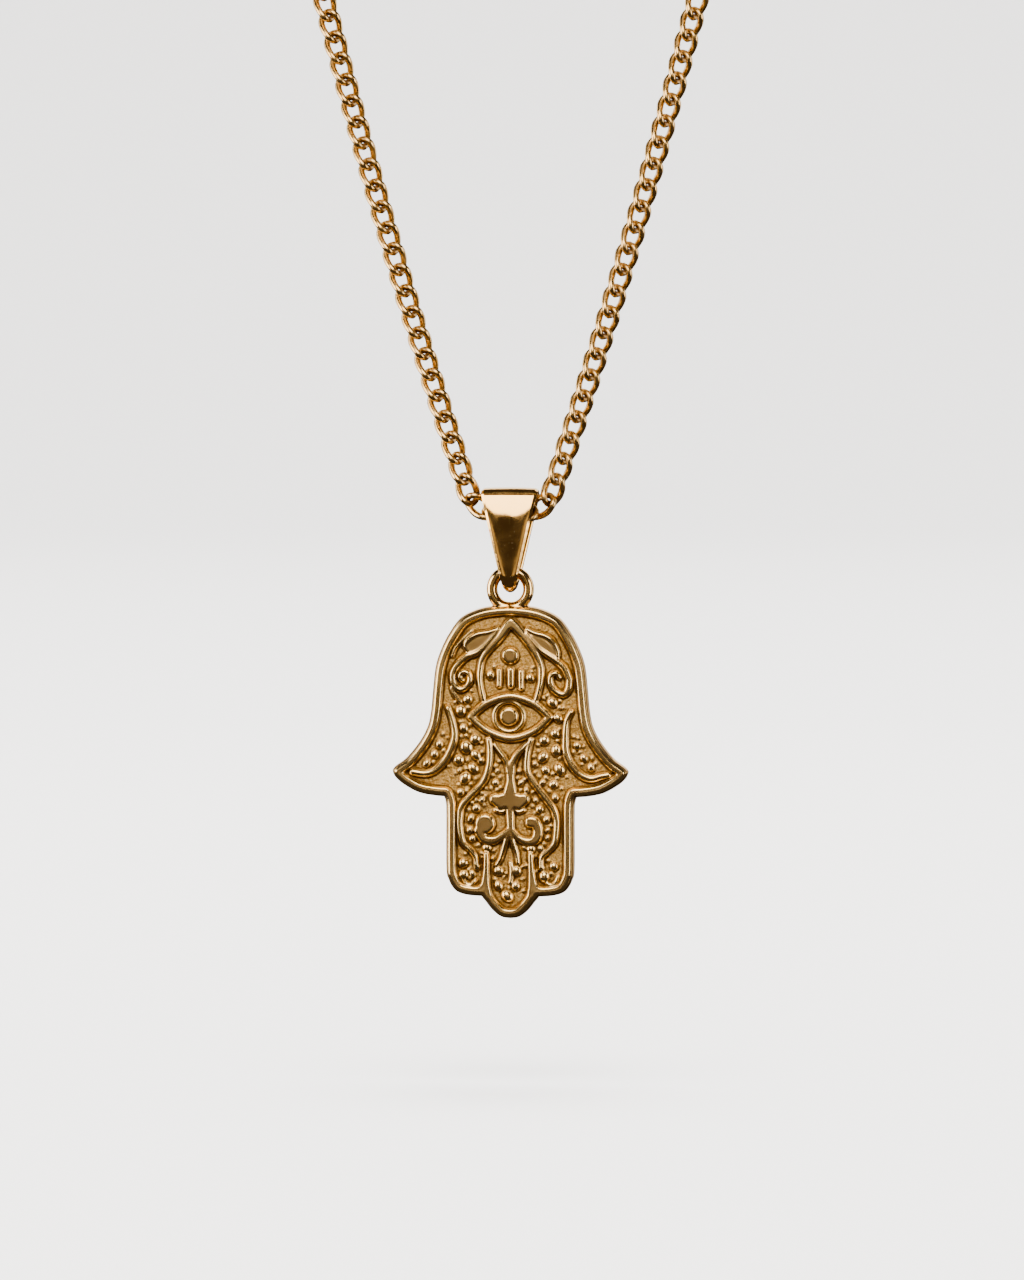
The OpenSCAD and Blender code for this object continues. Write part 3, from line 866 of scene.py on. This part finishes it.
def two_sided(low, high, cell, distance, front, back, swell, bare=None):
    """Closed solid over a flat shape: a front and a back height over a grid whose edge is pulled
    to the contour, with a wall of swollen rows. Where bare says so the back is left open. Gives
    points (across, up, height), faces and how many points the front has."""
    across = np.arange(low[0], high[0] + cell, cell)
    up = np.arange(low[1], high[1] + cell, cell)
    flat = np.stack(np.meshgrid(across, up, indexing="ij"), axis=-1).reshape(-1, 2)
    keep = distance(flat) < OVERLAP * cell
    used, (squares, thirds) = renumbered(*kept_cells(keep, (len(across), len(up))))
    flat = flat[used]
    edge = open_edges(squares, thirds)
    rim = np.unique(edge)
    pull_to(flat, rim, distance)
    count, m = len(flat), len(rim)
    ahead = np.zeros((count, 2))
    np.add.at(ahead, edge[:, 0], flat[edge[:, 1]] - flat[edge[:, 0]])
    np.add.at(ahead, edge[:, 1], flat[edge[:, 1]] - flat[edge[:, 0]])
    ahead = ahead[rim] / np.linalg.norm(ahead[rim], axis=1)[:, None]
    out = np.stack([ahead[:, 1], -ahead[:, 0]], axis=1)
    top, bottom = front(flat), back(flat)
    both, degree = neighbours(count, squares, thirds)
    softer = settled(top, both, degree, 1)
    softer[rim] = top[rim]
    top = softer
    backs = squares if bare is None else squares[~bare(flat)[squares].all(1)]
    points = [np.column_stack([flat, top]), np.column_stack([flat, bottom])]
    for outwards, share in WALL:
        height = top[rim] + (bottom[rim] - top[rim]) * share
        points.append(np.column_stack([flat[rim] + out * outwards * swell, height]))
    rings = [rim] + [2 * count + k * m + np.arange(m) for k in range(len(WALL))] + [rim + count]
    place = np.zeros(count, int)
    place[rim] = np.arange(m)
    a, b = place[edge[:, 0]], place[edge[:, 1]]
    wall = np.concatenate([
        np.stack([one[a], two[a], two[b], one[b]], axis=1) for one, two in zip(rings[:-1], rings[1:])
    ])
    points = np.vstack(points)
    faces = [squares, thirds, backs[:, ::-1] + count, thirds[:, ::-1] + count, wall]
    used, faces = renumbered(*faces)
    return points[used], faces, count


def close_holes(thing):
    """Gives each open loop of a mesh one flat face."""
    shell = bmesh.new()
    shell.from_mesh(thing.data)
    open_rim = [e for e in shell.edges if e.is_boundary]
    made = bmesh.ops.holes_fill(shell, edges=open_rim, sides=0)["faces"]
    print(f"{thing.name}: {len(open_rim)} open edges closed with {len(made)} faces")
    shell.to_mesh(thing.data)
    shell.free()


# %% [markdown]
# The hand's smooth back needs no grid: inside its rounded edge it is left open, and one large flat
# face closes it. The shape also leaves marks on its points for the finish: how far each lies above
# the ground, how deep in a crease (for painted shade there), on an edge or on the ring.


# %% The casting
def mark(thing, name, values):
    """Stores a number from 0 to 1 on each point of a mesh."""
    layer = thing.data.attributes.new(name, "FLOAT", "POINT")
    layer.data.foreach_set("value", np.clip(values, 0.0, 1.0).astype(np.float32))


cast_cell, margin, top_margin, back_open = 0.085, 0.6, 0.4, 0.6
field_low = [-hand_w / 2 - margin, -margin]
field_high = [hand_w / 2 + margin, ring_z + ring_d / 2 - hand_z + top_margin]
cast, cast_faces, cast_count = two_sided(
    field_low, field_high, cast_cell, from_casting, casting_front, casting_back, swell,
    lambda flat: from_hand(flat) < -back_open,
)
hand_points = np.column_stack([cast[:, 0], -cast[:, 2], cast[:, 1] + hand_z])
hand = put_mesh("hand_cast", hand_points, *cast_faces)
close_holes(hand)
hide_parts("hand")
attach(hand, "hand")

# %% Marks for the finish
near_times, far_times = 6, 40
near_deep, far_deep, edge_high = 0.09, 0.9, 0.05
ring_fade, hand_fade = 0.5, 0.4
front_z = cast[:cast_count, 2]
both, degree = neighbours(cast_count, cast_faces[0], cast_faces[1])
near_mean = settled(front_z, both, degree, near_times)
far_mean = settled(front_z, both, degree, far_times)
raised, crease_shade, edge = np.zeros((3, len(cast)))
raised[:cast_count] = (front_z - ground) / relief_high
# How deep each point lies in a crease, which sets the painted shade there
crease_shade[:cast_count] = (far_mean - front_z) / far_deep + (near_mean - front_z) / near_deep
edge[:cast_count] = (front_z - near_mean) / edge_high
raised[cast_count:] = 1.0
polish = np.clip(1.0 - (from_bar(cast[:, :2]) - bar_r) / ring_fade, 0.0, 1.0)
polish = np.minimum(polish, np.clip(1.0 + from_hand(cast[:, :2]) / hand_fade, 0.0, 1.0))
raised = np.maximum(raised, polish)
print(f"front from {front_z.min():.2f} to {front_z.max():.2f} mm")
for name, values in (("raised", raised), ("crease_shade", crease_shade), ("edge", edge), ("polish", polish)):
    mark(hand, name, values)

# %% [markdown]
# On the real hand the raised parts are rubbed bright and the ground between them is left grainy and
# dull; the creases are darkened here with painted shade. It could be painted as a picture, but the
# shape already knows where all this lies, so the marks on its points choose the colour and the
# roughness, and noise adds the grain.

# %% Gold of the casting
cast_gold = Finish("satin cast gold")
top, crease, ridge = (cast_gold.attribute(name) for name in ("raised", "crease_shade", "edge"))
polished = cast_gold.attribute("polish")
grain = cast_gold.noise(0.19, 3.0, 0.65)
cloud = cast_gold.noise(3.0, 2.0)
sunk = 1 - cast_gold.spread(top, 0.15, 0.75)
speckle = cast_gold.spread(grain, 0.35, 0.65)
ground_gold = cast_gold.blend(speckle, rgb(0.60, 0.34, 0.12), rgb(0.98, 0.70, 0.34))
top_gold = cast_gold.blend(cloud, rgb(0.90, 0.60, 0.29), rgb(1.0, 0.73, 0.40))
gold = cast_gold.blend(sunk, top_gold, ground_gold)
gold = cast_gold.blend(cast_gold.spread(ridge, 0.1, 0.9, 0.0, 0.7), gold, rgb(1.0, 0.80, 0.46))
# Painted shade: the creases are darkened towards dark brown
gold = cast_gold.blend(cast_gold.spread(crease, 0.2, 1.0, 0.0, 0.82), gold, rgb(0.13, 0.06, 0.015))
rough = 0.30 + 0.13 * sunk - 0.09 * ridge + 0.12 * (cloud - 0.5) - 0.11 * polished
pits = cast_gold.bump(grain * sunk, 0.10)
cast_gold.wear(
    hand,
    base_color=gold,
    metallic=1.0,
    roughness=rough,
    normal=cast_gold.bump(cast_gold.noise(0.4, 2.0), 0.006, pits),
)

# %% [markdown]
# The stage is painted pale and dull, so that nothing on it draws the eye away from the pendant. A
# glossy floor would mirror it.

# %% Plain paint of the stage
stage_paint = Finish("pale studio paint")
stage_paint.wear(stage, base_color=rgb(0.72, 0.71, 0.70), roughness=0.9)

# %% [markdown]
# The bail is a strip folded into a loop. Its side view is a closed line, an arch over the chain
# that narrows to a bend in the ring, and its section is a flat bar with bevelled front edges. The
# surface is the section carried round the line: one parameter runs round the loop and the
# other round the section. The roof meets the face in a crease, and below it the face curves gently.


# %% Side view of the bail
LEG_STEPS, ARCH_STEPS, ROOF_STEPS = 26, 32, 8


def side_line(top_r, top_z, low_r, low_z, turns):
    """Loop seen from the side, as (y, z): an arch on a narrower bend, joined by their common
    tangents. The front is at -y."""
    tilt = math.asin((top_r - low_r) / (top_z - low_z))
    up = tilt + (math.pi - 2 * tilt) * turns
    down = math.pi - tilt + (math.pi + 2 * tilt) * turns
    over = np.stack([top_r * np.cos(up), top_z + top_r * np.sin(up)], axis=1)
    under = np.stack([low_r * np.cos(down), low_z + low_r * np.sin(down)], axis=1)
    legs = np.linspace(0, 1, LEG_STEPS + 2)[1:-1, None]
    return np.vstack([over, over[-1] + (under[0] - over[-1]) * legs, under,
                      under[-1] + (over[0] - under[-1]) * legs])


turns = np.linspace(0, 1, ARCH_STEPS + 1)
low_outer = seat_r + bail_wall
inner_line = side_line(arch_r, arch_z, seat_r, seat_z, turns)
outer_line = side_line(arch_outer, arch_z, low_outer, bail_low + low_outer, turns)

# The front of the outside: a roof like a quarter of an oval, then the face, which leaves it
# in a crease, leans back at first and soon hangs straight
crease_drop = 0.75
roof_y, roof_z = 2.377, arch_outer
first_lean, leaning_share = math.radians(24), 0.52
first_front = ARCH_STEPS // 2
last_front = ARCH_STEPS + LEG_STEPS + 1
foot = outer_line[last_front]
roof_turn = np.linspace(0, 1, ROOF_STEPS + 1) * math.acos(1 - crease_drop / roof_z)
roof = np.stack([-roof_y * np.sin(roof_turn), bail_top - roof_z * (1 - np.cos(roof_turn))], axis=1)
steps_down = last_front - first_front - ROOF_STEPS
share = (np.arange(steps_down) + 0.5) / steps_down
hang = -math.asin((arch_outer - low_outer) / (arch_z - bail_low - low_outer))
lean_back = hang + (first_lean - hang) * np.clip(1 - share / leaning_share, 0, 1) ** 2
stride = (roof[-1, 1] - foot[1]) / np.cos(lean_back).sum()
run_down = np.stack([-np.sin(lean_back), -np.cos(lean_back)], axis=1) * stride
face_line = foot - np.cumsum(run_down[::-1], axis=0)[::-1]
outer_line[first_front:first_front + ROOF_STEPS] = roof[:-1]
outer_line[first_front + ROOF_STEPS:last_front] = face_line
print(f"crease at y {face_line[0, 0]:.3f}, roof ends at y {roof[-1, 0]:.3f}")

# %% Section of the bail
roof_swell, crease_angle = 0.04, math.radians(14)
half_width = np.interp(outer_line[:, 1], [bail_low, bail_top - bail_wall], [bail_tip_w / 2, bail_w / 2])
half_width[first_front:first_front + ROOF_STEPS] += roof_swell

# From the middle of the outside round to the inside: share of the width left after the inset,
# inset from the edge in millimetres, and share of the wall from inside to outside
SECTION = np.array([
    [0.0, 0.32, 1.10], [0.4, 0.32, 1.084], [0.75, 0.32, 1.044], [1.0, 0.32, 1.0], [1.0, 0.29, 0.99],
    [1.0, 0.03, 0.74], [1.0, 0.0, 0.68], [1.0, 0.0, 0.30], [1.0, 0.03, 0.12],
    [1.0, 0.10, 0.02], [1.0, 0.18, 0.0], [0.4, 0.18, 0.0],
])
mirrored = SECTION[:0:-1] * [-1, 1, 1]
around = np.vstack([SECTION, [[0.0, 0.18, 0.0]], mirrored])
bail_x = around[:, 0] * (half_width[:, None] - around[:, 1])
bail_yz = inner_line[:, None] + (outer_line - inner_line)[:, None] * around[:, 2][None, :, None]
bail_points = np.concatenate([bail_x[..., None], bail_yz], axis=-1).reshape(-1, 3)
bail = put_mesh("bail_folded", bail_points, grid_faces(len(outer_line), len(around), True))
bail.data.set_sharp_from_angle(angle=crease_angle)
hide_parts("bail")
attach(bail, "bail")

# %% [markdown]
# The bail is the brightest piece: buffed along its length, with a few smears and specks of dust
# from handling. A perfect mirror would look unreal, so the smears change the roughness a little
# and very fine lines bend the reflections.

# %% Polish of the bail
bright_gold = Finish("polished rose gold")
smear = bright_gold.noise(1.6, 2.0)
brushed = bright_gold.noise(0.05, 2.0, 0.6, (1.0, 1.0, 30.0))
dust = bright_gold.spread(bright_gold.noise(0.12, 1.0), 0.74, 0.80)
rubbed_gold = bright_gold.blend(smear, rgb(0.88, 0.57, 0.25), rgb(0.97, 0.67, 0.34))
bright_gold.wear(
    bail,
    base_color=bright_gold.blend(0.6 * dust, rubbed_gold, rgb(1.0, 0.86, 0.62)),
    metallic=1.0,
    roughness=bright_gold.spread(smear, 0.3, 0.7, 0.09, 0.17) + 0.3 * dust,
    normal=bright_gold.bump(smear, 0.015, bright_gold.bump(brushed, 0.0006)),
)

# %% [markdown]
# A curb link is an oval wire twisted so that the chain lies flat. Its middle line is an oval that
# also swings to the front and back twice a turn, so that each link passes through the next.
# One wire section is carried round that line once, and the links are then set along the
# route of the chain as whole arrays, each turned to the chord between its two joints. The route is
# the CAD tube's, summed from short steps.

# %% Route of the chain
bend = (math.pi / 2 - strand_lean) / 2
step = 0.02
drop_len = 2 * link_pitch
chain_half = loop_len / 2


def lean_at(s, arc_start, arc_r):
    """Angle of the chain from the vertical, outwards, at a length from the middle of the bail: level
    in the bail, half turned at its corner, then easing to the upper lean, straight, and round an
    arc to level again at the top."""
    eased = strand_lean + (upper_lean - strand_lean) * np.clip((s - drop_len) / ease_len, 0, 1)
    lean = eased - np.clip(s - arc_start, 0, None) / arc_r
    lean = np.where(s < drop_len, math.pi / 2 - bend, lean)
    return np.where(s < link_pitch, math.pi / 2, lean)


middle = (np.arange(round(chain_half / step)) + 0.5) * step
ease_x = (np.sin(lean_at(middle[middle < drop_len + ease_len], chain_half, 1.0)) * step).sum()
arc_room = chain_half - drop_len - ease_len + ease_x / math.sin(upper_lean)
arc_r = arc_room / (1 / math.tan(upper_lean) + math.pi / 2 + upper_lean)
arc_start = chain_half - arc_r * (math.pi / 2 + upper_lean)
lean = lean_at(middle, arc_start, arc_r)
way = np.stack([np.sin(lean), np.cos(lean)], axis=1)
route = np.vstack([[0.0, 0.0], np.cumsum(way * step, axis=0)]) + [0.0, chain_z]
route_s = np.arange(len(route)) * step
# The lowest links hang a little above the tube's line, in the middle of the room that the bail
# leaves them when it swings
hang_rise = 0.12
route[:, 1] += hang_rise * np.clip(1.0 - route_s / ease_len, 0.0, 1.0)
print(f"arc radius {arc_r:.2f}, route ends at x {route[-1, 0]:.3f}, z {route[-1, 1]:.3f}")

# %% Sizes of the links
wire_r = 0.36
link_long, link_wide, link_twist = 1.586, 0.90, 0.63
eye_r = eye_hole / 2 + eye_wall
eye_x = clasp_len / 2 - eye_r
end_centre = chain_half - (eye_x + eye_hole / 2 - wire_r + link_long)
link_count = math.floor(end_centre / link_pitch + 0.5)
pitch = end_centre / (link_count - 0.5)
joint_s = np.arange(link_count + 1) * pitch
joints = np.stack([np.interp(joint_s, route_s, route[:, k]) for k in (0, 1)], axis=1)

link_roll, ROLL_LINKS = math.radians(17), 6
print(f"{link_count} links a side, pitch {pitch:.3f} mm")

# %% [markdown]
# With 208 links, each can have only a few dozen faces. So the link is a coarse cage, and the
# Subdivision Surface modifier rounds it. Smoothing shrinks a cage, so the cage is made larger by
# as much as it will shrink.

# %% One link
CAGE_LONG, CAGE_ROUND = 14, 4
bend_weight, tiny = 1.5, 0.001
tuck_from, tuck_fade = 0.45, 0.4


def oval_line(t):
    """Middle line of a link, (along, across, front): an oval that swings to the front and back
    twice a turn."""
    return np.stack([link_long * np.cos(t), link_wide * np.sin(t), link_twist * np.sin(2 * t)], axis=1)


def cage_for(points):
    """Cage whose smoothed surface runs through a grid of points that closes both ways. Smoothing
    leaves a point four sixths of its own place and gives it a sixth of each neighbour's, so the
    cage is what solves those sums, along each direction in turn."""
    for axis in (0, 1):
        own = np.eye(points.shape[axis])
        drawn = (4 * own + np.roll(own, 1, axis=0) + np.roll(own, -1, axis=0)) / 6
        points = np.moveaxis(np.tensordot(np.linalg.inv(drawn), points, (1, axis)), 0, axis)
    return points


# Rings stand closer where the wire bends more: a step counts its length and its bend
fine = np.linspace(0, 2 * math.pi, 721)
steps = np.diff(oval_line(fine), axis=0)
lengths = np.linalg.norm(steps, axis=1)
headings = steps / lengths[:, None]
bends = np.linalg.norm(np.diff(headings, axis=0, append=headings[:1]), axis=1)
count_up = np.concatenate([[0.0], np.cumsum(lengths + wire_r * bend_weight * bends)])
t = np.interp(np.arange(CAGE_LONG) * count_up[-1] / CAGE_LONG, count_up, fine)
centre_line = oval_line(t)
tangent = oval_line(t + tiny) - oval_line(t - tiny)
tangent /= np.linalg.norm(tangent, axis=1)[:, None]
outward = centre_line - (centre_line * tangent).sum(1)[:, None] * tangent
outward /= np.linalg.norm(outward, axis=1)[:, None]
sideways = np.cross(tangent, outward)
angle = np.linspace(0, 2 * math.pi, CAGE_ROUND, endpoint=False)
spokes = np.cos(angle)[:, None] * outward[:, None] + np.sin(angle)[:, None] * sideways[:, None]
link = cage_for(centre_line[:, None] + wire_r * spokes).reshape(-1, 3)
link_faces = grid_faces(CAGE_LONG, CAGE_ROUND, True)
# Share of painted shade and dirt: near a link's ends, on the inner side of the wire where the neighbour
# passes through
near_end = np.clip((np.abs(np.cos(t)) - tuck_from) / tuck_fade, 0.0, 1.0)
tucked_shade_and_dirt = np.outer(near_end, 0.5 - 0.5 * np.cos(angle)).ravel()
print(f"one link: {len(link_faces)} faces before smoothing")


# %% Two strands
def strand(name, side, node):
    """One half of the chain: each link's own length, width and front go to the direction of its
    chord, the one a quarter turn to the right of it, and the front, and the last two are rolled
    about the first, more and more over the first links and back over the last ones."""
    path = joints * [side, 1]
    middle_xz = (path[1:] + path[:-1]) / 2
    run = np.diff(path, axis=0)
    run /= np.linalg.norm(run, axis=1)[:, None]
    zero = np.zeros(len(run))
    along = np.stack([run[:, 0], zero, run[:, 1]], axis=1)
    across = np.stack([run[:, 1], zero, -run[:, 0]], axis=1)
    from_end = np.minimum(np.arange(len(run)), np.arange(len(run))[::-1])
    eased = np.clip(from_end / ROLL_LINKS, 0.0, 1.0)
    roll = link_roll * (eased * eased * (3.0 - 2.0 * eased))[:, None]
    facing = np.cos(roll) * FRONT + np.sin(roll) * across
    beside = np.cos(roll) * across - np.sin(roll) * FRONT
    place = np.stack([middle_xz[:, 0], zero, middle_xz[:, 1]], axis=1)
    points = (place[:, None] + link[None, :, :1] * along[:, None]
              + link[None, :, 1:2] * beside[:, None] + link[None, :, 2:] * facing[:, None])
    faces = link_faces[None] + (np.arange(len(run)) * len(link))[:, None, None]
    piece = put_mesh(name, points.reshape(-1, 3), faces.reshape(-1, 4))
    mark(piece, "tucked_shade_and_dirt", np.tile(tucked_shade_and_dirt, link_count))
    smooth = piece.modifiers.new("round_wire", "SUBSURF")
    smooth.levels = smooth.render_levels = 1
    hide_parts(node)
    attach(piece, "chain")
    return piece


right = strand("links_right", 1, "chain_right")
left = strand("links_left", -1, "chain_left")

# %% [markdown]
# The wire is bright, but where a link's end lies in its neighbour it is darkened, partly for the dirt
# that stays there and partly as painted shade for the little light that comes in. A finer network
# could look for such places, but each link has them in the same two places, so they are marked on its
# points.

# %% Gold of the links
wire_gold = Finish("polished chain gold")
speck = wire_gold.noise(0.8, 2.0)
joint_shade_and_dirt = wire_gold.spread(wire_gold.attribute("tucked_shade_and_dirt"), 0.1, 0.8, 0.0, 0.85)
drawn_gold = wire_gold.blend(speck, rgb(0.82, 0.56, 0.27), rgb(0.92, 0.66, 0.36))
# Painted shade and dirt darken the tucked ends of each link towards dark brown
wire_gold.wear(
    right,
    base_color=wire_gold.blend(joint_shade_and_dirt, drawn_gold, rgb(0.20, 0.09, 0.02)),
    metallic=1.0,
    roughness=wire_gold.spread(speck, 0.3, 0.7, 0.22, 0.32) + 0.1 * joint_shade_and_dirt,
)
wire_gold.wear(left)

# %% [markdown]
# The clasp is out of the photograph, behind the neck. It is a plain oval body between two eyes,
# made by the same two height fields as the hand, lying flat.


# %% Shape of the clasp
clasp_fillet = 0.4
eye_edge, eye_round = 0.25, 0.3
belly_end, belly_fade, belly_round = 3.4, 1.6, 1.5


def from_eye(points):
    """Distance from the nearer eye's centre."""
    return np.linalg.norm(np.abs(points) - [eye_x, 0.0], axis=1)


def from_clasp(points):
    """Distance from the flat shape: a long oval joined to two discs, less their holes."""
    body_x = eye_x - eye_hole / 2 - clasp_w / 2
    body = np.linalg.norm(points - np.clip(points, [-body_x, 0], [body_x, 0]), axis=1) - clasp_w / 2
    joined = both_min(body, from_eye(points) - eye_r, clasp_fillet)
    return np.maximum(joined, eye_hole / 2 - from_eye(points))


def clasp_height(points):
    """Half thickness: flat rounded eyes, and a body that swells between them."""
    depth = -from_clasp(points)
    eye = eye_edge + (eye_t / 2 - eye_edge) * shoulder(depth / eye_round)
    belly = (clasp_t - eye_t) / 2 * shoulder((belly_end - np.abs(points[:, 0])) / belly_fade)
    return eye + belly * shoulder(depth / belly_round)


# %% Clasp
clasp_cell, clasp_margin, clasp_swell = 0.11, 0.3, 0.05
clasp_shape, clasp_faces, _ = two_sided(
    [-clasp_len / 2 - clasp_margin, -clasp_w / 2 - clasp_margin],
    [clasp_len / 2 + clasp_margin, clasp_w / 2 + clasp_margin],
    clasp_cell, from_clasp, clasp_height, lambda p: -clasp_height(p), clasp_swell,
)
clasp = put_mesh("clasp_body", clasp_shape + [0.0, 0.0, clasp_t / 2], *clasp_faces)
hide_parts("clasp")
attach(clasp, "chain")
bright_gold.wear(clasp)
